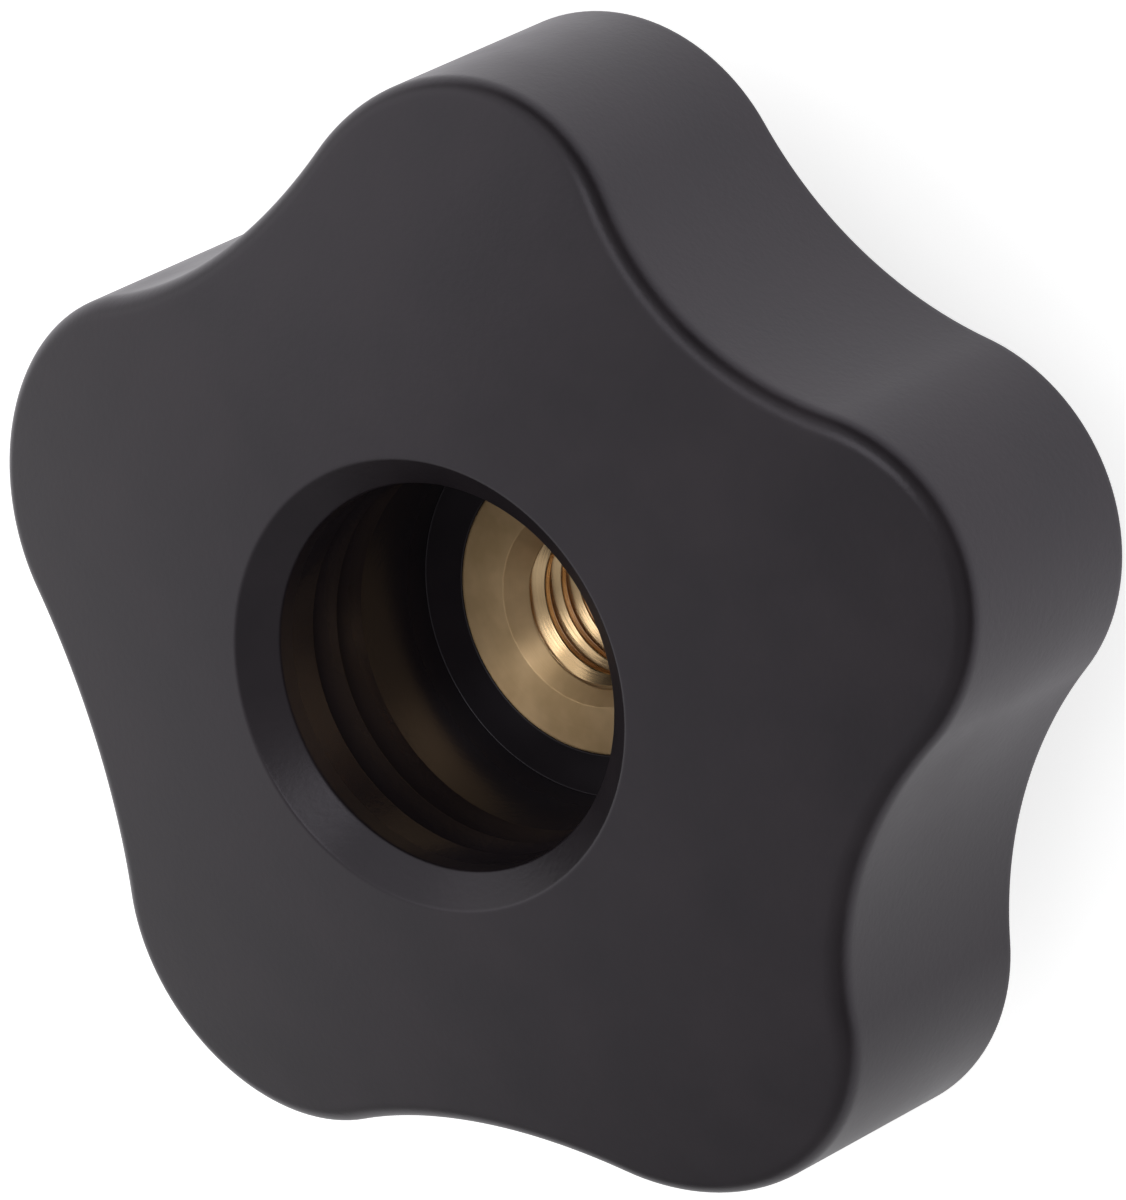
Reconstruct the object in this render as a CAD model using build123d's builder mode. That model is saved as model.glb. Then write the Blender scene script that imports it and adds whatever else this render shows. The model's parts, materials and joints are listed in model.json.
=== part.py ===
from build123d import *

import os
from math import atan2, cos, degrees, radians, sin, sqrt

# Five-lobe star knob, moulded in one piece round a threaded brass insert.
# +Z runs along the thread, from the hub's end face towards the domed face of the head.
# The origin is the centre of the hub's end face, and one lobe points along +X.
# Lengths are in millimetres and angles in degrees.

# Star head, in plan
lobe_count = 5
tip_radius = 25.0  # axis to the outermost point of a lobe
nose_radius = 8.6  # rounding of each lobe's nose
valley_arc_radius = 19.0  # hollow between two lobes

# Star head, in section
head_height = 16.4  # back of the head to the point where the dome would close
dome_radius = 68.0  # slight crown of the front face
front_edge_radius = 0.8

# Hub behind the head
hub_length = 10.0
hub_wall = 4.5  # moulding round the insert
hub_edge_chamfer = 0.5

# Cap recess in the front face
floor_thickness = 3.65  # back of the head to the recess floor
floor_ring_width = 1.85  # moulding between the insert's face and the recess wall
mouth_chamfer_width = 1.4
mouth_chamfer_depth = 1.3

# Snap grooves in the recess wall, which hold a cover cap
groove_count = 2
groove_pitch = 1.75
groove_depth = 0.35
first_groove_drop = 3.75  # mouth to the upper edge of the first groove

# Brass insert, threaded right through
thread_diameter = 8.0
thread_pitch = 1.25
insert_wall = 2.5  # outside the thread's major diameter
countersink_margin = 0.4  # countersink's rim outside the major diameter
lead_in_margin = 0.3  # the same, at the hub's end
insert_collar_length = 1.8  # round band at each end
insert_flat_depth = 1.3  # of the two flats, below the collars

cut_overrun = 1.0  # how far a cutting shape runs past the surface that it cuts

# Sizes that follow
lobe_pitch = 360 / lobe_count
half_pitch = radians(lobe_pitch / 2)
nose_distance = tip_radius - nose_radius
valley_distance = nose_distance * cos(half_pitch) + sqrt(
    (nose_radius + valley_arc_radius) ** 2 - (nose_distance * sin(half_pitch)) ** 2
)
nose_half_sweep = degrees(
    atan2(
        valley_distance * sin(half_pitch),
        valley_distance * cos(half_pitch) - nose_distance,
    )
)
valley_sweep = 2 * nose_half_sweep - lobe_pitch

dome_top = hub_length + head_height
dome_centre = dome_top - dome_radius

thread_radius = thread_diameter / 2
thread_minor_radius = thread_radius - 0.5413 * thread_pitch  # ISO metric thread form
insert_radius = thread_radius + insert_wall
insert_length = hub_length + floor_thickness
countersink_radius = thread_radius + countersink_margin
lead_in_radius = thread_radius + lead_in_margin

hub_radius = insert_radius + hub_wall
recess_radius = insert_radius + floor_ring_width
mouth_radius = recess_radius + mouth_chamfer_width
mouth_height = dome_centre + sqrt(dome_radius**2 - mouth_radius**2)

os.makedirs("parts", exist_ok=True)


def at_angle(distance, angle):
    """Point at a distance from the axis, in the direction of the angle."""
    return (distance * cos(radians(angle)), distance * sin(radians(angle)))


# ---------------------------------------------------------------------------
# Insert blank: turned bar, with two flats milled between its round collars, so that
# it can neither turn nor slide in the moulding
# ---------------------------------------------------------------------------
with BuildPart() as insert_blank:
    with BuildSketch(Plane.XY) as bar_section:
        Circle(insert_radius)
    extrude(amount=insert_length)

    with BuildSketch(Plane.XY.offset(insert_collar_length)) as flats_section:
        Circle(insert_radius + cut_overrun)
        Rectangle(
            2 * (insert_radius + cut_overrun),
            2 * (insert_radius - insert_flat_depth),
            mode=Mode.SUBTRACT,
        )
    extrude(amount=insert_length - 2 * insert_collar_length, mode=Mode.SUBTRACT)

# ---------------------------------------------------------------------------
# Brass insert: the blank, drilled to the thread's minor diameter and countersunk at
# both ends, at 45 degrees
# ---------------------------------------------------------------------------
with BuildPart() as brass_insert:
    add(insert_blank.part)
    with BuildSketch(Plane.XZ) as thread_hole_section:
        with BuildLine():
            Polyline(
                (0, 0),
                (lead_in_radius, 0),
                (thread_minor_radius, lead_in_radius - thread_minor_radius),
                (
                    thread_minor_radius,
                    insert_length - countersink_radius + thread_minor_radius,
                ),
                (countersink_radius, insert_length),
                (0, insert_length),
                close=True,
            )
        make_face()
    revolve(axis=Axis.Z, mode=Mode.SUBTRACT)

# ---------------------------------------------------------------------------
# Knob body: lobed head with a domed face, hub behind it and cap recess in front
# ---------------------------------------------------------------------------
with BuildPart() as knob_body:
    # Lobed prism: convex nose arcs and hollow valley arcs, tangent to each other
    with BuildSketch(Plane.XY.offset(hub_length)) as star_section:
        with BuildLine():
            for lobe in range(lobe_count):
                lobe_angle = lobe * lobe_pitch
                valley_angle = lobe_angle + lobe_pitch / 2
                CenterArc(
                    at_angle(nose_distance, lobe_angle),
                    nose_radius,
                    lobe_angle - nose_half_sweep,
                    2 * nose_half_sweep,
                )
                CenterArc(
                    at_angle(valley_distance, valley_angle),
                    valley_arc_radius,
                    valley_angle + 180 + valley_sweep / 2,
                    -valley_sweep,
                )
        make_face()
    extrude(amount=head_height)

    # Crowned front face: the head is cut to a ball, whose poles lie off to the sides
    with BuildSketch(Plane.XY.offset(dome_centre)) as dome_section:
        with BuildLine():
            CenterArc((0, 0), dome_radius, 0, 180)
            Line((-dome_radius, 0), (dome_radius, 0))
        make_face()
    revolve(axis=Axis((0, 0, dome_centre), (1, 0, 0)), mode=Mode.INTERSECT)
    fillet(faces().sort_by(Axis.Z)[-1].edges(), radius=front_edge_radius)

    # Hub
    with BuildSketch(Plane.XY) as hub_section:
        Circle(hub_radius)
    extrude(amount=hub_length)
    chamfer(faces().sort_by(Axis.Z)[0].edges(), length=hub_edge_chamfer)

    # Cap recess, its chamfered mouth and the snap grooves, as one turned section
    with BuildSketch(Plane.XZ) as recess_section:
        with BuildLine():
            Polyline(
                (0, insert_length),
                (recess_radius, insert_length),
                (recess_radius, mouth_height - mouth_chamfer_depth),
                (mouth_radius, mouth_height),
                (mouth_radius, dome_top + cut_overrun),
                (0, dome_top + cut_overrun),
                close=True,
            )
        make_face()
        # Each groove has a square upper flank, and a ramp up which the cap is prised out
        for groove in range(groove_count):
            groove_top = mouth_height - first_groove_drop - groove * groove_pitch
            with BuildLine():
                Polyline(
                    (0, groove_top),
                    (recess_radius + groove_depth, groove_top),
                    (recess_radius, groove_top - groove_pitch),
                    (0, groove_top - groove_pitch),
                    close=True,
                )
            make_face()
    revolve(axis=Axis.Z, mode=Mode.SUBTRACT)

    # Seat of the insert
    add(insert_blank.part, mode=Mode.SUBTRACT)

knob_body.part.label = "knob_body"
brass_insert.part.label = "brass_insert"
export_step(knob_body.part, "parts/knob_body.step")
export_step(brass_insert.part, "parts/brass_insert.step")
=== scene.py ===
"""Star knob: the looks of the moulded body and of the threaded brass insert in it.

Everything is in metres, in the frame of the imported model: +Z runs along the thread, from
the hub's end face towards the crowned face of the head, and one lobe points along +X.
"""

import ast
import json
import math

import bpy
from mathutils import Matrix, Vector


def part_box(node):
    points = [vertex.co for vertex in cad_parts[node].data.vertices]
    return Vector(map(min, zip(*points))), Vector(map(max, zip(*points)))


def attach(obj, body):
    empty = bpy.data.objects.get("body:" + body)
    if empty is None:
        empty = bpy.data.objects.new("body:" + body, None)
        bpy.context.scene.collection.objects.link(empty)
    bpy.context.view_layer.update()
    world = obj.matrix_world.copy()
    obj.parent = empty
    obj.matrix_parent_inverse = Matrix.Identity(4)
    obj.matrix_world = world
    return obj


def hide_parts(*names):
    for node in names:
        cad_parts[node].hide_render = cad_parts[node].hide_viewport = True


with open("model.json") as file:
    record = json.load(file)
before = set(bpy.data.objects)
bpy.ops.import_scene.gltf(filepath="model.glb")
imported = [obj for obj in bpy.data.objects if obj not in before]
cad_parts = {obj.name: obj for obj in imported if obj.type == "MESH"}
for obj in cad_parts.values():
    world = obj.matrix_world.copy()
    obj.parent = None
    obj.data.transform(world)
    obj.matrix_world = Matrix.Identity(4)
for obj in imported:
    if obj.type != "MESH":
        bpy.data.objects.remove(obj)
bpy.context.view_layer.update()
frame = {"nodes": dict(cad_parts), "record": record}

MM = 0.001

# ---------------------------------------------------------------------------
# Sizes of the knob. What touches the insert is worked out from the frame.
# ---------------------------------------------------------------------------
LOBES = 5
TIP_RADIUS = 25.0 * MM
NOSE_RADIUS = 8.6 * MM
VALLEY_RADIUS = 19.0 * MM
HEAD_BACK = 10.0 * MM  # height of the head's back face
HEAD_HEIGHT = 16.4 * MM  # back of the head to the top of the closed dome
DOME_RADIUS = 68.0 * MM
FRONT_EDGE = 1.1 * MM
BACK_EDGE = 0.15 * MM

HUB_WALL = 4.5 * MM
HUB_CHAMFER = 0.5 * MM
HUB_ROOT = 0.4 * MM
FLOOR_RING = 1.85 * MM
MOUTH_WIDTH = 1.4 * MM
MOUTH_DEPTH = 1.3 * MM
GROOVES = 2
GROOVE_PITCH = 1.75 * MM
GROOVE_DEPTH = 0.35 * MM
GROOVE_DROP = 3.75 * MM  # mouth to the upper edge of the first groove
SOFT_EDGE = 0.2 * MM  # rounding of the moulded edges that a hand meets
CRISP_EDGE = 0.05 * MM  # rounding of the edges that a tool leaves
INSERT_EDGE = 0.1 * MM  # the same, on the insert's upper rim

THREAD_RADIUS = 4.0 * MM
THREAD_PITCH = 1.25 * MM
THREAD_START = 0.75  # share of a turn by which its crest is behind the lobe on +X
COUNTERSINK = 0.4 * MM  # its rim, outside the thread's major diameter
LEAD_IN = 0.3 * MM  # the same, at the hub's end
COLLAR_LENGTH = 1.8 * MM
FLAT_DEPTH = 1.3 * MM

insert_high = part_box("brass_insert")[1]
INSERT_RADIUS = insert_high.x
INSERT_LENGTH = insert_high.z
THREAD_MINOR = next(
    mount["dims"]["r_mm"] * MM for mount in frame["record"]["mounts"] if mount["name"] == "thread"
)
HUB_RADIUS = INSERT_RADIUS + HUB_WALL
RECESS_RADIUS = INSERT_RADIUS + FLOOR_RING
MOUTH_RADIUS = RECESS_RADIUS + MOUTH_WIDTH
DOME_CENTRE = HEAD_BACK + HEAD_HEIGHT - DOME_RADIUS

NO_FLAT = 1.0  # a flat so far from the axis that it cuts nothing
WELD = 0.0005 * MM
ROUNDING_STEPS = 5


# ---------------------------------------------------------------------------
# Node trees
# ---------------------------------------------------------------------------
def add_node(tree, kind, inputs=None, **settings):
    """Adds a node, sets its properties, and links or sets its inputs by name or number."""
    node = tree.nodes.new(kind)
    for name, value in settings.items():
        setattr(node, name, value)
    for key, value in (inputs or {}).items():
        if isinstance(value, bpy.types.NodeSocket):
            tree.links.new(value, node.inputs[key])
        else:
            node.inputs[key].default_value = value
    return node


MATHS = {
    ast.Add: "ADD",
    ast.Sub: "SUBTRACT",
    ast.Mult: "MULTIPLY",
    ast.Div: "DIVIDE",
    "sqrt": "SQRT",
    "sin": "SINE",
    "cos": "COSINE",
    "acos": "ARCCOSINE",
    "atan2": "ARCTAN2",
    "abs": "ABSOLUTE",
    "sign": "SIGN",
    "min": "MINIMUM",
    "max": "MAXIMUM",
    "above": "GREATER_THAN",
    "fract": "FRACT",
    "floor": "FLOOR",
}
CONSTANTS = {"pi": math.pi, "root3": math.sqrt(3)}


def formula(tree, text, values):
    """Turns a written formula into Math nodes and returns the socket of its result. A name
    in it stands for a socket or for a plain number."""

    def grow(part):
        if isinstance(part, ast.Constant):
            return float(part.value)
        if isinstance(part, ast.Name):
            return CONSTANTS[part.id] if part.id in CONSTANTS else values[part.id]
        if isinstance(part, ast.BinOp):
            kind, operands = type(part.op), [part.left, part.right]
        else:
            kind, operands = part.func.id, part.args
        inputs = dict(enumerate(grow(operand) for operand in operands))
        return add_node(tree, "ShaderNodeMath", inputs, operation=MATHS[kind]).outputs[0]

    return grow(ast.parse(text).body[0].value)


def solve(tree, values, **formulas):
    """Works out formulas one after the other and keeps their results under their names."""
    for name, text in formulas.items():
        values[name] = formula(tree, text, values)


def start_shape(name, sizes):
    """A geometry tree with a named input for each size, and those inputs as values."""
    tree = bpy.data.node_groups.new(name, "GeometryNodeTree")
    tree.is_modifier = True
    for way in ("INPUT", "OUTPUT"):
        tree.interface.new_socket("Geometry", in_out=way, socket_type="NodeSocketGeometry")
    for size, value in sizes.items():
        kind = "NodeSocketInt" if isinstance(value, int) else "NodeSocketFloat"
        tree.interface.new_socket(size, in_out="INPUT", socket_type=kind)
    tree.interface.new_socket("material", in_out="INPUT", socket_type="NodeSocketMaterial")
    entry = add_node(tree, "NodeGroupInput").outputs
    values = {size: entry[size] for size in sizes}
    place = add_node(tree, "GeometryNodeInputPosition")
    parts = add_node(tree, "ShaderNodeSeparateXYZ", {0: place.outputs[0]})
    values["x"] = parts.outputs["X"]
    values["y"] = formula(tree, "y + 0.5", {"y": parts.outputs["Y"]})
    return tree, entry, values


def bent_grid(tree, values, columns, rows, place):
    """A grid bent into a skin. Its x runs from -1 to 1 round the axis, and its y from 0 to
    1 along the section, in the direction that turns its faces outwards."""
    size = {"Size X": 2.0, "Size Y": 1.0, "Vertices X": columns, "Vertices Y": rows}
    grid = add_node(tree, "GeometryNodeMeshGrid", size)
    parts = dict(enumerate(formula(tree, text, values) for text in place))
    point = add_node(tree, "ShaderNodeCombineXYZ", parts)
    moved = {"Geometry": grid.outputs["Mesh"], "Position": point.outputs[0]}
    return add_node(tree, "GeometryNodeSetPosition", moved).outputs[0]


def turned_skin(tree, entry, values):
    """The section in the tree's input, turned round the axis. Each of its points is a row,
    with its radius as x, its height as z, and as y the distance of two flats that cut it."""
    values["row"] = formula(tree, "floor(y * (section_rows - 1) + 0.5)", values)
    place = add_node(tree, "GeometryNodeInputPosition")
    sources = {"Geometry": entry["Geometry"], "Value": place.outputs[0], "Index": values["row"]}
    sample = add_node(tree, "GeometryNodeSampleIndex", None, data_type="FLOAT_VECTOR")
    for name, source in sources.items():
        tree.links.new(source, sample.inputs[name])
    parts = add_node(tree, "ShaderNodeSeparateXYZ", {0: sample.outputs["Value"]})
    for name, part in zip(("section", "flat", "height"), "XYZ"):
        values[name] = parts.outputs[part]
    solve(
        tree,
        values,
        turn="x * pi",
        turned="min(section, flat / max(abs(sin(turn)), 0.001))",
    )
    place = ("turned * cos(turn)", "turned * sin(turn)", "height")
    return bent_grid(tree, values, values["columns"], values["section_rows"], place)


def end_shape(tree, entry, skins):
    """Joins and welds the skins, then realizes them and gives them their material."""
    joined = add_node(tree, "GeometryNodeJoinGeometry")
    for skin in skins:
        tree.links.new(skin, joined.inputs[0])
    real = add_node(tree, "GeometryNodeRealizeInstances", {0: joined.outputs[0]})
    weld = {"Geometry": real.outputs[0], "Distance": WELD}
    welded = add_node(tree, "GeometryNodeMergeByDistance", weld)
    smooth = add_node(tree, "GeometryNodeSetShadeSmooth", {"Geometry": welded.outputs[0]})
    finish = {"Geometry": smooth.outputs[0], "Material": entry["material"]}
    dressed = add_node(tree, "GeometryNodeSetMaterial", finish)
    add_node(tree, "NodeGroupOutput", {0: dressed.outputs[0]})


def lobed_body_tree(sizes):
    """The knob's body: the section in the input, turned, and one lobe set round the axis."""
    tree, entry, values = start_shape("lobed_body", sizes)
    turned = turned_skin(tree, entry, values)

    # One lobe, from the middle of a valley to the middle of the next: its outline in plan
    # is a nose arc and two half valley arcs, with nx and ny as the outward direction
    solve(
        tree,
        values,
        half="pi / lobes",
        nose_at="tip - nose",
        reach="(nose + valley) * (nose + valley)",
        valley_at="nose_at * cos(half) + sqrt(reach - nose_at * sin(half) * nose_at * sin(half))",
        valley_x="valley_at * cos(half)",
        valley_y="valley_at * sin(half)",
        sweep="atan2(valley_y, valley_x - nose_at)",
        side="sign(x)",
        along="abs(x) * 2",
        hollow="above(along, 1)",
        bend="min(along, 1) * sweep - max(along - 1, 0) * (sweep - half)",
        nx="cos(bend)",
        ny="side * sin(bend)",
        px="nose_at + nose * nx + hollow * (valley_x - (nose + valley) * nx - nose_at)",
        py="nose * ny + hollow * (side * valley_y - (nose + valley) * ny)",
        circle_x="cos(x * half)",
        circle_y="sin(x * half)",
    )
    # A ball rolls along inside the outline and the dome: the front edge is what it touches
    solve(
        tree,
        values,
        ball="dome - front_edge",
        bx="px - front_edge * nx",
        by="py - front_edge * ny",
        bz="sqrt(ball * ball - bx * bx - by * by)",
        open="acos((nx * bx + ny * by) / ball)",
        near="front_edge * sin((1 - y) * open) / sin(open)",
        far="front_edge * sin(y * open) / sin(open) / ball",
        rim_x="bx * dome / ball",
        rim_y="by * dome / ball",
        crown_x="rim_x + (crown_hole * circle_x - rim_x) * y",
        crown_y="rim_y + (crown_hole * circle_y - rim_y) * y",
        ease="y * y * (3 - 2 * y)",
        under="back_edge * sin(y * pi / 2) - back_edge",
        back_x="px - back_edge * nx",
        back_y="py - back_edge * ny",
    )
    skins = {
        "back_face": (
            "back_hole * circle_x + (back_x - back_hole * circle_x) * ease",
            "back_hole * circle_y + (back_y - back_hole * circle_y) * ease",
            "head_back",
        ),
        "back_edge": (
            "px + under * nx",
            "py + under * ny",
            "head_back + back_edge * (1 - cos(y * pi / 2))",
        ),
        "wall": (
            "px",
            "py",
            "head_back + back_edge + (dome_centre + bz - head_back - back_edge) * ease",
        ),
        "front_edge": (
            "bx + near * nx + far * bx",
            "by + near * ny + far * by",
            "dome_centre + bz + far * bz",
        ),
        "crown": (
            "crown_x",
            "crown_y",
            "dome_centre + sqrt(dome * dome - crown_x * crown_x - crown_y * crown_y)",
        ),
    }
    columns = formula(tree, "(columns - 1) / lobes + 1", values)
    lobe = add_node(tree, "GeometryNodeJoinGeometry")
    for name, place in skins.items():
        skin = bent_grid(tree, values, columns, values[name + "_rows"], place)
        tree.links.new(skin, lobe.inputs[0])
    points = add_node(tree, "GeometryNodePoints", {"Count": values["lobes"]})
    values["index"] = add_node(tree, "GeometryNodeInputIndex").outputs[0]
    spin = add_node(tree, "ShaderNodeCombineXYZ", {2: formula(tree, "index * half * 2", values)})
    rotation = add_node(tree, "FunctionNodeEulerToRotation", {0: spin.outputs[0]})
    repeat = {"Points": points.outputs[0], "Instance": lobe.outputs[0]}
    repeat["Rotation"] = rotation.outputs[0]
    lobes = add_node(tree, "GeometryNodeInstanceOnPoints", repeat)
    end_shape(tree, entry, [turned, lobes.outputs[0]])
    return tree


def threaded_insert_tree(sizes):
    """The insert: its outside is turned from the section in the input, and its bore is one
    skin whose rows follow the thread's helix and stop at the two end faces."""
    tree, entry, values = start_shape("threaded_insert", sizes)
    turned = turned_skin(tree, entry, values)
    # The thread's root is a flat of an eighth of the pitch, between flanks at 60 degrees
    solve(
        tree,
        values,
        part="(x + 1) / 2",
        row_start="(1 - y) * turns - 1",
        level="min(max((row_start + part) * pitch, 0), length)",
        off_root="abs(fract(row_start + start) - 0.5) * pitch - pitch / 16",
        flank="major - max(off_root, 0) * root3",
        thread="max(flank, minor)",
        bore="max(thread, max(countersink - length + level, lead_in - level))",
        bore_turn="part * pi * 2",
    )
    place = ("bore * cos(bore_turn)", "bore * sin(bore_turn)", "level")
    values["thread_rows"] = formula(tree, "turns * rows_per_turn + 1", values)
    bore = bent_grid(tree, values, values["columns"], values["thread_rows"], place)
    end_shape(tree, entry, [turned, bore])
    return tree


# ---------------------------------------------------------------------------
# Sections and pieces
# ---------------------------------------------------------------------------
def section_object(name, corners):
    """An object with one point for each row of a turned section. A corner is its radius,
    its height, its rounding and, where flats cut the section, their distance."""
    points = []
    for number, (radius, height, rounding, *flat) in enumerate(corners):
        depth = flat[0] if flat else NO_FLAT
        corner = Vector((radius, height))
        if rounding == 0:
            points.append((radius, depth, height))
            continue
        before = (Vector(corners[number - 1][:2]) - corner).normalized()
        after = (Vector(corners[number + 1][:2]) - corner).normalized()
        half_angle = before.angle(after) / 2
        tangent = rounding / math.tan(half_angle)
        centre = corner + (before + after).normalized() * rounding / math.sin(half_angle)
        first = (corner + before * tangent - centre).normalized()
        last = (corner + after * tangent - centre).normalized()
        # A support row close to each end of the rounding keeps the flat beside it flat
        arc = [centre + first * rounding + before * rounding / 3]
        for step in range(ROUNDING_STEPS + 1):
            arc.append(centre + first.slerp(last, step / ROUNDING_STEPS) * rounding)
        arc.append(centre + last * rounding + after * rounding / 3)
        points += [(point.x, depth, point.y) for point in arc]
    mesh = bpy.data.meshes.new(name)
    mesh.from_pydata(points, [], [])
    piece = bpy.data.objects.new(name, mesh)
    bpy.context.scene.collection.objects.link(piece)
    return piece


def shaped(piece, tree, sizes, material):
    """Gives a section its shape through the tree, and leaves it as a plain closed mesh."""
    modifier = piece.modifiers.new(tree.name, "NODES")
    modifier.node_group = tree
    sockets = {item.name: item.identifier for item in tree.interface.items_tree}
    for size, value in sizes.items():
        modifier[sockets[size]] = value
    modifier[sockets["material"]] = material
    bpy.context.view_layer.update()
    evaluated = piece.evaluated_get(bpy.context.evaluated_depsgraph_get())
    mesh = bpy.data.meshes.new_from_object(evaluated)
    mesh.name = piece.name
    piece.modifiers.remove(modifier)
    piece.data = mesh
    return piece


def insert_corners():
    """Outside of the insert, from the lead-in's rim over the hub's end to the countersink."""
    flat = INSERT_RADIUS - FLAT_DEPTH
    upper_collar = INSERT_LENGTH - COLLAR_LENGTH
    return [
        (THREAD_RADIUS + LEAD_IN, 0.0, 0.0),
        (THREAD_RADIUS + LEAD_IN + CRISP_EDGE, 0.0, 0.0),
        (INSERT_RADIUS, 0.0, CRISP_EDGE),
        (INSERT_RADIUS, COLLAR_LENGTH, 0.0),
        (INSERT_RADIUS, COLLAR_LENGTH, 0.0, flat),
        (INSERT_RADIUS, upper_collar, 0.0, flat),
        (INSERT_RADIUS, upper_collar, 0.0),
        (INSERT_RADIUS, INSERT_LENGTH, INSERT_EDGE),
        (THREAD_RADIUS + COUNTERSINK + CRISP_EDGE, INSERT_LENGTH, 0.0),
        (THREAD_RADIUS + COUNTERSINK, INSERT_LENGTH, 0.0),
    ]


def body_corners(crown_hole, back_hole):
    """Turned part of the body, from the crown through the recess, round the insert's seat
    and over the hub to the head's back face."""
    def crown(radius):
        return DOME_CENTRE + math.sqrt(DOME_RADIUS**2 - radius**2)

    mouth = crown(MOUTH_RADIUS)
    flat = INSERT_RADIUS - FLAT_DEPTH
    upper_collar = INSERT_LENGTH - COLLAR_LENGTH
    corners = [
        (crown_hole, crown(crown_hole), 0.0),
        (MOUTH_RADIUS, mouth, SOFT_EDGE),
        (RECESS_RADIUS, mouth - MOUTH_DEPTH, SOFT_EDGE),
    ]
    for groove in range(GROOVES):
        top = mouth - GROOVE_DROP - groove * GROOVE_PITCH
        corners.append((RECESS_RADIUS, top, CRISP_EDGE))
        corners.append((RECESS_RADIUS + GROOVE_DEPTH, top, CRISP_EDGE))
    corners.append((RECESS_RADIUS, top - GROOVE_PITCH, SOFT_EDGE))
    corners += [
        (RECESS_RADIUS, INSERT_LENGTH, CRISP_EDGE),
        (INSERT_RADIUS, INSERT_LENGTH, CRISP_EDGE),
        (INSERT_RADIUS, upper_collar, 0.0),
        (INSERT_RADIUS, upper_collar, 0.0, flat),
        (INSERT_RADIUS, COLLAR_LENGTH, 0.0, flat),
        (INSERT_RADIUS, COLLAR_LENGTH, 0.0),
        (INSERT_RADIUS, 0.0, CRISP_EDGE),
        (HUB_RADIUS - HUB_CHAMFER, 0.0, SOFT_EDGE),
        (HUB_RADIUS, HUB_CHAMFER, SOFT_EDGE),
        (HUB_RADIUS, HEAD_BACK, HUB_ROOT),
        (back_hole, HEAD_BACK, 0.0),
    ]
    return corners


def make_insert(material):
    """The brass insert, with its thread cut."""
    piece = section_object("threaded_brass_insert", insert_corners())
    sizes = {
        "columns": 161,
        "section_rows": len(piece.data.vertices),
        "turns": 12,
        "rows_per_turn": 32,
        "pitch": THREAD_PITCH,
        "start": THREAD_START,
        "major": THREAD_RADIUS,
        "minor": THREAD_MINOR,
        "length": INSERT_LENGTH,
        "countersink": THREAD_RADIUS + COUNTERSINK,
        "lead_in": THREAD_RADIUS + LEAD_IN,
    }
    return shaped(piece, threaded_insert_tree(sizes), sizes, material)


def make_body(material):
    """The moulded body with its five lobes."""
    crown_hole = MOUTH_RADIUS + 2 * SOFT_EDGE
    back_hole = HUB_RADIUS + 2 * HUB_ROOT
    piece = section_object("moulded_knob_body", body_corners(crown_hole, back_hole))
    sizes = {
        "lobes": LOBES,
        "columns": 80 * LOBES + 1,
        "section_rows": len(piece.data.vertices),
        "back_face_rows": 9,
        "back_edge_rows": 5,
        "wall_rows": 13,
        "front_edge_rows": 11,
        "crown_rows": 33,
        "tip": TIP_RADIUS,
        "nose": NOSE_RADIUS,
        "valley": VALLEY_RADIUS,
        "head_back": HEAD_BACK,
        "dome": DOME_RADIUS,
        "dome_centre": DOME_CENTRE,
        "front_edge": FRONT_EDGE,
        "back_edge": BACK_EDGE,
        "crown_hole": crown_hole,
        "back_hole": back_hole,
    }
    return shaped(piece, lobed_body_tree(sizes), sizes, material)


# ---------------------------------------------------------------------------
# Materials
# ---------------------------------------------------------------------------
NYLON_GLOSS = 0.46  # specular level of the moulded skin
GROOVE_SHADE_LOSS = 0.35  # and what the painted shade in the grooves takes from the skin's shine
GROOVE_SHADE_START = 0.08  # how deep in a groove the painted shade starts, in millimetres
GROOVE_SHADE_DEPTH = 1 / 6  # and how much deeper it is full
CORE_SMOOTHER = 0.1  # how much less rough the recess wall is than the rest of the skin
CORE_LOW = 15.0 * MM  # heights between which a turned core shaped the recess wall
CORE_HIGH = 23.5 * MM

BORE_ROUGHNESS = 0.17  # of the brass in the bore, which the tap polished
FACE_ROUGHER = 0.22  # what the lathe tool adds on the faces
RING_ROUGHER = 0.1  # and the most that its rings add there
FILM_ROUGHER = 0.08  # the most that the film adds everywhere
FACE_SPREAD = 0.85  # how much more the faces spread light across the rings than along them
UPPER_FACE = 1.05 * MM  # depth of the turned upper face, with its countersink
LOWER_FACE = 1.0 * MM  # and of the one at the hub's end


def srgb(code):
    """A colour written as sRGB hex, as linear RGBA."""
    parts = [int(code[place : place + 2], 16) / 255 for place in (1, 3, 5)]
    return [c / 12.92 if c <= 0.04045 else ((c + 0.055) / 1.055) ** 2.4 for c in parts] + [1.0]


def coordinates(tree, place):
    """The three parts of a place, as values."""
    parts = add_node(tree, "ShaderNodeSeparateXYZ", {0: place}).outputs
    return {"x": parts["X"], "y": parts["Y"], "z": parts["Z"]}


def start_material(name):
    """An empty node material with its object coordinates and its surface shader."""
    material = bpy.data.materials.new(name)
    material.use_nodes = True
    tree = material.node_tree
    tree.nodes.clear()
    shader = add_node(tree, "ShaderNodeBsdfPrincipled")
    add_node(tree, "ShaderNodeOutputMaterial", {"Surface": shader.outputs[0]})
    place = add_node(tree, "ShaderNodeTexCoord").outputs["Object"]
    return material, tree, shader, place


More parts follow.
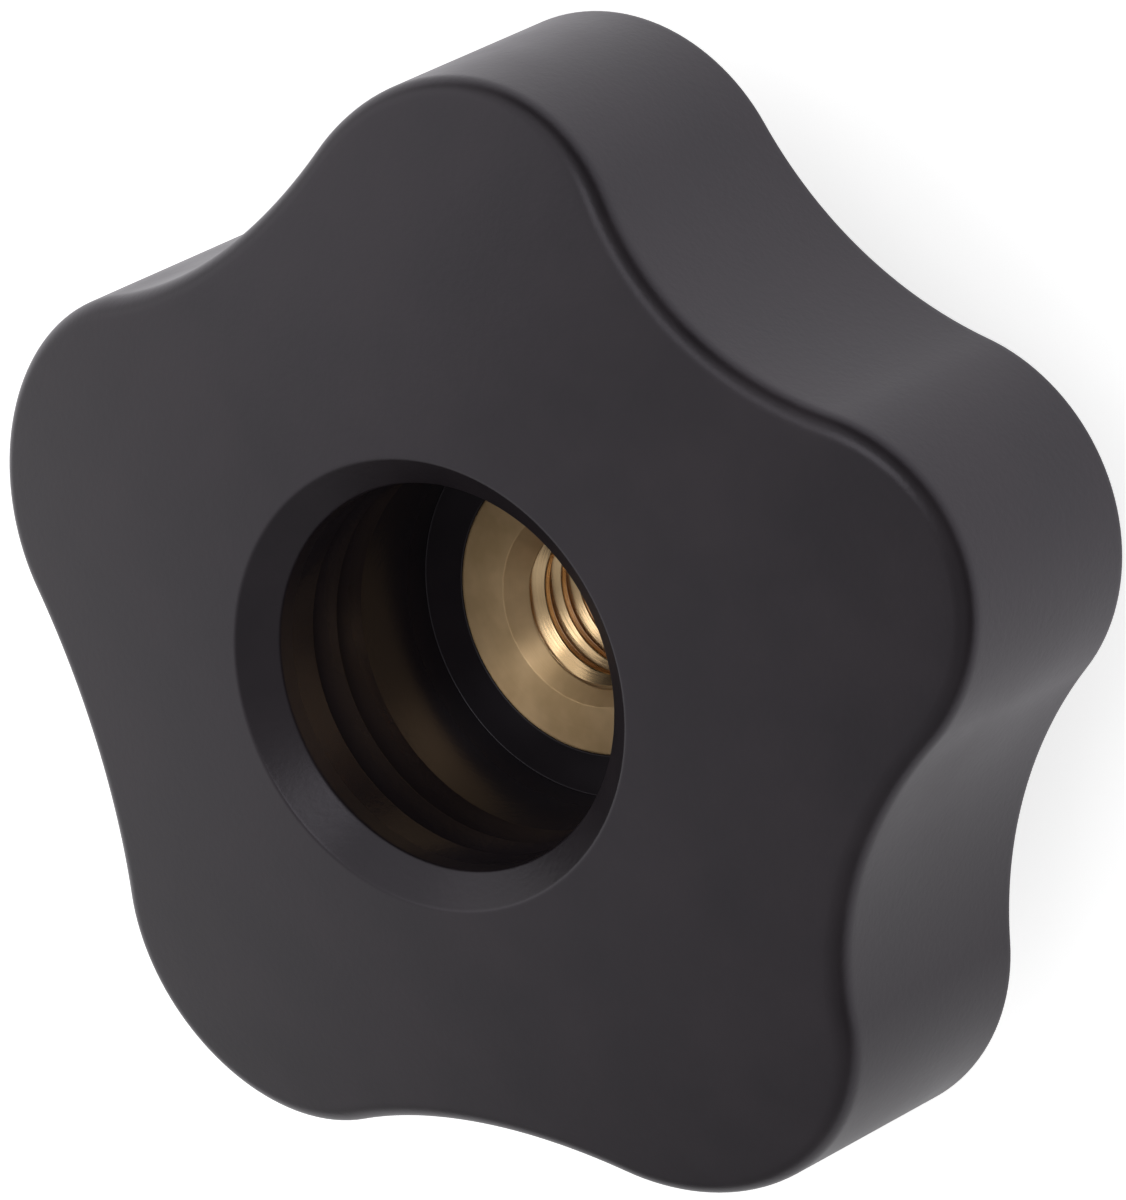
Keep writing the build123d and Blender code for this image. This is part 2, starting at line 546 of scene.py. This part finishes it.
def spark_grained_nylon():
    """Glass-filled black nylon, injection moulded in a spark-eroded mould: a matt skin of
    fine pits, with faint clouds where the filler lies nearer the surface."""
    material, tree, shader, place = start_material("spark_grained_nylon")
    # The pits are some 0.1 mm across on the real skin, and are drawn as 0.3 mm to show
    pits = {"Vector": place, "Scale": 1 / (0.3 * MM), "Detail": 2.0, "Roughness": 0.6}
    clouds = {"Vector": place, "Scale": 1 / (5.0 * MM), "Detail": 4.0, "Roughness": 0.55}
    pits = add_node(tree, "ShaderNodeTexNoise", pits).outputs["Fac"]
    clouds = add_node(tree, "ShaderNodeTexNoise", clouds).outputs["Fac"]

    tint = add_node(tree, "ShaderNodeValToRGB", {"Fac": clouds})
    tint.color_ramp.elements[0].position = 0.35
    tint.color_ramp.elements[0].color = srgb("#1c181b")
    tint.color_ramp.elements[1].position = 0.65
    tint.color_ramp.elements[1].color = srgb("#231e21")
    tree.links.new(tint.outputs["Color"], shader.inputs["Base Color"])

    sheen = {"Value": clouds, "From Min": 0.3, "From Max": 0.7, "To Min": 0.28, "To Max": 0.34}
    sheen = add_node(tree, "ShaderNodeMapRange", sheen)
    shader.inputs["IOR"].default_value = 1.5
    shader.inputs["Specular Tint"].default_value = srgb("#f8f3ff")

    # The recess wall is smoother, off a turned core, and its grooves hardly shine: their shine is
    # cut as painted shade. A point is "out" by the millimetres that it lies outside that wall
    values = {**coordinates(tree, place), "sheen": sheen.outputs[0], "mm": MM}
    values.update(recess=RECESS_RADIUS, low=CORE_LOW, high=CORE_HIGH, smoother=CORE_SMOOTHER)
    values.update(gloss=NYLON_GLOSS, loss=GROOVE_SHADE_LOSS, start=GROOVE_SHADE_START, depth=GROOVE_SHADE_DEPTH)
    solve(
        tree,
        values,
        out="(sqrt(x * x + y * y) - recess) / mm",
        core="above(z, low) * above(0.5, out) * above(high, z)",
        # Painted shade: the deeper in a groove, the less the skin shines
        dust="min(max(out - start, 0) / depth, 1)",
        shine="gloss - core * dust * loss",
        rough="sheen - core * smoother",
    )
    tree.links.new(values["shine"], shader.inputs["Specular IOR Level"])
    tree.links.new(values["rough"], shader.inputs["Roughness"])

    skin = {"Strength": 0.35, "Distance": 0.02 * MM, "Height": pits}
    skin = add_node(tree, "ShaderNodeBump", skin)
    tree.links.new(skin.outputs[0], shader.inputs["Normal"])
    return material


def turned_brass():
    """Free-cutting brass, turned: a bright bore, faces with the fine rings that the tool's
    feed leaves, and a slightly dull film that varies the colour."""
    material, tree, shader, place = start_material("turned_brass")
    values = {**coordinates(tree, place), "mm": MM}
    solve(tree, values, feed="(sqrt(x * x + y * y) + z) / mm")
    # The feed is some 0.06 mm a turn, and is drawn as 0.12 mm to show
    rings = {"W": values["feed"], "Scale": 1 / 0.12, "Detail": 2.0, "Roughness": 0.6}
    rings = add_node(tree, "ShaderNodeTexNoise", rings, noise_dimensions="1D").outputs["Fac"]
    film = {"Vector": place, "Scale": 1 / (2.5 * MM), "Detail": 3.0, "Roughness": 0.6}
    film = add_node(tree, "ShaderNodeTexNoise", film).outputs["Fac"]

    tint = add_node(tree, "ShaderNodeValToRGB", {"Fac": film})
    tint.color_ramp.elements[0].position = 0.35
    tint.color_ramp.elements[0].color = srgb("#e0be8f")
    tint.color_ramp.elements[1].position = 0.7
    tint.color_ramp.elements[1].color = srgb("#f9d7a8")
    tree.links.new(tint.outputs["Color"], shader.inputs["Base Color"])
    shader.inputs["Metallic"].default_value = 1.0

    values.update(rings=rings, film=film, top=INSERT_LENGTH - UPPER_FACE, foot=LOWER_FACE)
    values.update(bore=BORE_ROUGHNESS, turned=FACE_ROUGHER, ring=RING_ROUGHER, dull=FILM_ROUGHER)
    values.update(face_spread=FACE_SPREAD)
    solve(
        tree,
        values,
        face="above(z, top) + above(foot, z)",
        rough="bore + face * (turned + rings * ring) + film * dull",
        spread="face * face_spread",
    )
    tree.links.new(values["rough"], shader.inputs["Roughness"])
    tree.links.new(values["spread"], shader.inputs["Anisotropic"])
    round_axis = add_node(tree, "ShaderNodeTangent", None, direction_type="RADIAL", axis="Z")
    tree.links.new(round_axis.outputs[0], shader.inputs["Tangent"])
    shader.inputs["Anisotropic Rotation"].default_value = 0.25
    skin = {"Strength": 0.3, "Distance": 0.01 * MM, "Height": rings}
    skin = add_node(tree, "ShaderNodeBump", skin)
    tree.links.new(skin.outputs[0], shader.inputs["Normal"])
    return material


# ---------------------------------------------------------------------------
# The pieces on the frame
# ---------------------------------------------------------------------------
nylon = spark_grained_nylon()
brass = turned_brass()

body = make_body(nylon)
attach(body, "root")
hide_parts("knob_body")

insert = make_insert(brass)
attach(insert, "root")
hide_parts("brass_insert")

# The CAD nodes get the same finishes, though the dressed pieces stand for them
for node, finish in (("knob_body", nylon), ("brass_insert", brass)):
    frame["nodes"][node].data.materials.clear()
    frame["nodes"][node].data.materials.append(finish)


# ---------------------------------------------------------------------------
# Camera: a long lens, from the front of the head and rolled so that a lobe is on top
# ---------------------------------------------------------------------------
IMAGE_SIZE = Vector((1126, 1200))
HEAD_PIXEL = Vector((638.0, 583.3))  # where the centre of the head's back face shows
TIP_PIXELS = 593.6  # the tip radius, in pixels, at that centre
CAMERA_DISTANCE = 650 * MM
SENSOR = 36.0
TOWARDS_CAMERA = Vector((0.3053, -0.5343, 0.7882)).normalized()
IMAGE_UP = Vector((0.9517, 0.1438, -0.2712))


def make_camera():
    """The camera, aimed so that the head's centre falls on its pixel with no lens shift."""
    across = IMAGE_UP.cross(TOWARDS_CAMERA).normalized()
    upward = TOWARDS_CAMERA.cross(across)
    head_centre = Vector((0, 0, HEAD_BACK))
    offset = (IMAGE_SIZE / 2 - HEAD_PIXEL) * TIP_RADIUS / TIP_PIXELS
    aim = head_centre + across * offset.x - upward * offset.y
    eye = head_centre + TOWARDS_CAMERA * CAMERA_DISTANCE
    back = (eye - aim).normalized()
    across = upward.cross(back).normalized()
    turn = Matrix((across, back.cross(across), back)).transposed().to_4x4()
    lens = bpy.data.cameras.new("camera")
    lens.sensor_width = SENSOR
    lens.lens = TIP_PIXELS * CAMERA_DISTANCE / TIP_RADIUS / max(IMAGE_SIZE) * SENSOR
    camera = bpy.data.objects.new("camera", lens)
    camera.matrix_world = Matrix.Translation(eye) @ turn
    bpy.context.scene.collection.objects.link(camera)
    bpy.context.scene.camera = camera


make_camera()


# ---------------------------------------------------------------------------
# Stage: a white floor and a white tent with soft lamps
# ---------------------------------------------------------------------------
LIT_SIDE = Vector((0.38, 0.78, 0.5)).normalized()  # where the tent is brightest
GAP_SIDE = Vector((0.64, -0.77, 0)).normalized()  # where its foot is open, and dark
TOP_SIDE = Vector((-0.5, -0.05, 0.86)).normalized()  # where its top lets some more light in
AMBIENT = 0.7  # strength of the tent as light, apart from what glosses show of it
TENT_GLOW = 1.4  # what they show of it level with the knob, on its lit side
TENT_FALL = 0.66  # and what that loses up to the top
DULL_SHARE = 0.32  # the share of it that is left on the duller side
TOP_GLOW = 0.2  # what its top adds
FOOT_SHADE = 0.45  # what its foot loses where it isn't open

CARD_GREY = 0.8
CARD_SHOWN = 0.65  # glow that brings the card up to white for the camera
CARD_MIRRORED = 0.42  # its glow in what glosses
CARD_DULLER = 0.3  # what that glow loses on the side away from +X
CARD_TINT = srgb("#faf5ff")  # and its colour, a little cool
DARK_FROM = 62.5 * MM  # how far off the card starts to darken on the tent's open side
DARK_AT = 187.5 * MM  # and is dark


def ray_kinds(tree, values):
    """Tells the camera's rays, and those off a gloss or through a clear body, from the rest."""
    rays = add_node(tree, "ShaderNodeLightPath").outputs
    values.update(camera=rays["Is Camera Ray"], gloss=rays["Is Glossy Ray"])
    values["clear"] = rays["Is Transmission Ray"]
    solve(tree, values, glossy="min(gloss + clear, 1)")


def make_floor():
    """A pale card that shows white, and keeps the shadow of the knob. What glosses shows it
    a little cool, and dark beyond the open foot of the tent."""
    mesh = bpy.data.meshes.new("floor")
    reach = 4.0
    corners = [(-reach, -reach, 0), (reach, -reach, 0), (reach, reach, 0), (-reach, reach, 0)]
    mesh.from_pydata(corners, [], [(0, 1, 2, 3)])
    floor = bpy.data.objects.new("floor", mesh)
    bpy.context.scene.collection.objects.link(floor)
    material, tree, shader, place = start_material("white_card")
    shader.inputs["Roughness"].default_value = 0.9
    values = coordinates(tree, place)
    ray_kinds(tree, values)
    values.update(gap_x=GAP_SIDE.x, gap_y=GAP_SIDE.y, start=DARK_FROM, end=DARK_AT, mm=MM)
    values.update(shown=CARD_SHOWN, mirrored=CARD_MIRRORED, duller=CARD_DULLER)
    values.update(pale=CARD_GREY, tint_red=CARD_TINT[0], tint_green=CARD_TINT[1])
    # The gap spans 60 degrees to each side of its middle, and fades out by 90
    solve(
        tree,
        values,
        off="max(sqrt(x * x + y * y), mm)",
        gap="min(max((x * gap_x + y * gap_y) / off * 2, 0), 1)",
        far="min(max((off - start) / (end - start), 0), 1) * gap",
        mirror="(1 - far) * (mirrored + min(x / off, 0) * duller)",
        glow="camera * shown + glossy * mirror",
        grey="pale * (1 - glossy * far)",
        red="1 - glossy * (1 - tint_red)",
        green="1 - glossy * (1 - tint_green)",
    )
    cool = {"Red": values["red"], "Green": values["green"], "Blue": 1.0}
    cool = add_node(tree, "ShaderNodeCombineColor", cool)
    tree.links.new(cool.outputs[0], shader.inputs["Emission Color"])
    tree.links.new(values["glow"], shader.inputs["Emission Strength"])
    grey = add_node(tree, "ShaderNodeCombineColor", dict.fromkeys(range(3), values["grey"]))
    tree.links.new(grey.outputs[0], shader.inputs["Base Color"])
    mesh.materials.append(material)


def make_tent():
    """The world: white where the camera sees it. What glosses on the knob is a white tent
    that is lit from one side and duller on the other. Its foot is in shade, most of all
    where it is open."""
    world = bpy.data.worlds.new("white_tent")
    bpy.context.scene.world = world
    world.use_nodes = True
    tree = world.node_tree
    tree.nodes.clear()
    way = add_node(tree, "ShaderNodeTexCoord").outputs["Generated"]
    values = {"ambient": AMBIENT, "level": TENT_GLOW, "fall": TENT_FALL, "dull": DULL_SHARE}
    values.update(top_glow=TOP_GLOW, shade=FOOT_SHADE)
    ray_kinds(tree, values)
    values["height"] = add_node(tree, "ShaderNodeSeparateXYZ", {0: way}).outputs["Z"]
    # Each edge has its direction, and the cosines to it at which it starts and is full
    edges = {
        "lit": (LIT_SIDE, 0.06, 0.76),
        "gap": (GAP_SIDE, -0.3, 0.4),
        "top": (TOP_SIDE, 0.8, 1.0),
        "rise": (Vector((0, 0, 1)), 0.0, 0.6),
    }
    for name, (side, first, last) in edges.items():
        edge = add_node(tree, "ShaderNodeVectorMath", {0: way, 1: side}, operation="DOT_PRODUCT")
        edge = {"Value": edge.outputs["Value"], "From Min": first, "From Max": last}
        edge = add_node(tree, "ShaderNodeMapRange", edge, interpolation_type="SMOOTHSTEP")
        values[name] = edge.outputs[0]
    solve(
        tree,
        values,
        foot="1 - (1 - rise) * (shade + gap * (1 - shade))",
        side="(level - fall * height) * (dull + (1 - dull) * lit)",
        tent="(side + top * top_glow) * foot",
        strength="camera + glossy * tent + (1 - camera - glossy) * ambient",
    )
    sky = {"Color": srgb("#ffffff"), "Strength": values["strength"]}
    sky = add_node(tree, "ShaderNodeBackground", sky)
    add_node(tree, "ShaderNodeOutputWorld", {"Surface": sky.outputs[0]})


def make_lamp(name, place, size, power):
    """A square soft box that faces the knob."""
    light = bpy.data.lights.new(name, "AREA")
    light.shape = "SQUARE"
    light.size = size
    light.energy = power
    lamp = bpy.data.objects.new(name, light)
    lamp.location = place
    lamp.rotation_euler = Vector(place).to_track_quat("Z", "Y").to_euler()
    bpy.context.scene.collection.objects.link(lamp)


make_floor()
make_tent()
make_lamp("key_soft_box", place=(0.5, 0.85, 0.8), size=1.0, power=1.0)
make_lamp("small_soft_box", place=(0.35, -0.21, 0.56), size=0.3, power=0.5)

scene = bpy.context.scene
scene.view_settings.view_transform = "Standard"

bpy.context.view_layer.update()
